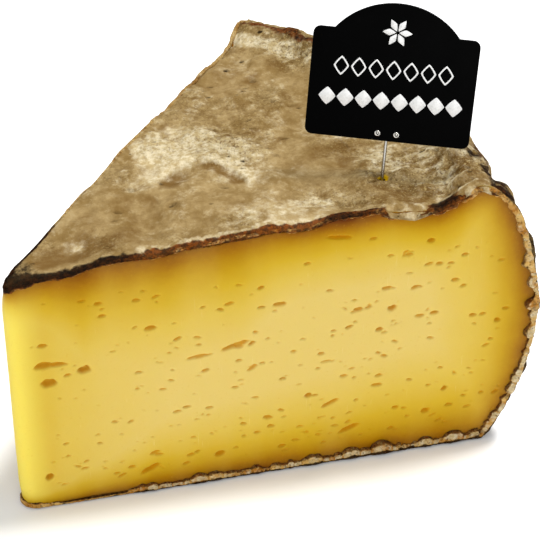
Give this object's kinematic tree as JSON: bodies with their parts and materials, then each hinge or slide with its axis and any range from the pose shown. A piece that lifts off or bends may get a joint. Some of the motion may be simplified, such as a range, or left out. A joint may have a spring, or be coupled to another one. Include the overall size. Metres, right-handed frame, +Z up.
{
  "type": "tomme de savoie",
  "caption": "Cut wedge of aged pressed cheese: mottled grey-brown rind, yellow paste with small flat eyes, and a small arched sign held above the rind on a steel pin.",
  "frame": {"origin": "middle of the bounding box's bottom, on the surface that the wedge rests on", "axes": "+X along the front cut, from the wheel's middle to its rim, +Z up, and the front cut faces -Y"},
  "size_m": [0.1064, 0.0826, 0.0941],
  "materials": {
    "paste": "moist pressed cheese paste, yellow, darker and browner towards the rind, with small flat eyes",
    "rind": "dry mottled grey-beige rind with cream bloom, brown stains and dark edges",
    "sign_black": "satin black plastic plate",
    "sign_print": "white print",
    "steel": "polished steel"
  },
  "bodies": {
    "root": {"cheese": "paste", "sign_plate": "sign_black", "sign_pin": "steel", "pin_tab": "steel", "rivet_left": "steel", "rivet_right": "steel"}
  },
  "joints": []
}
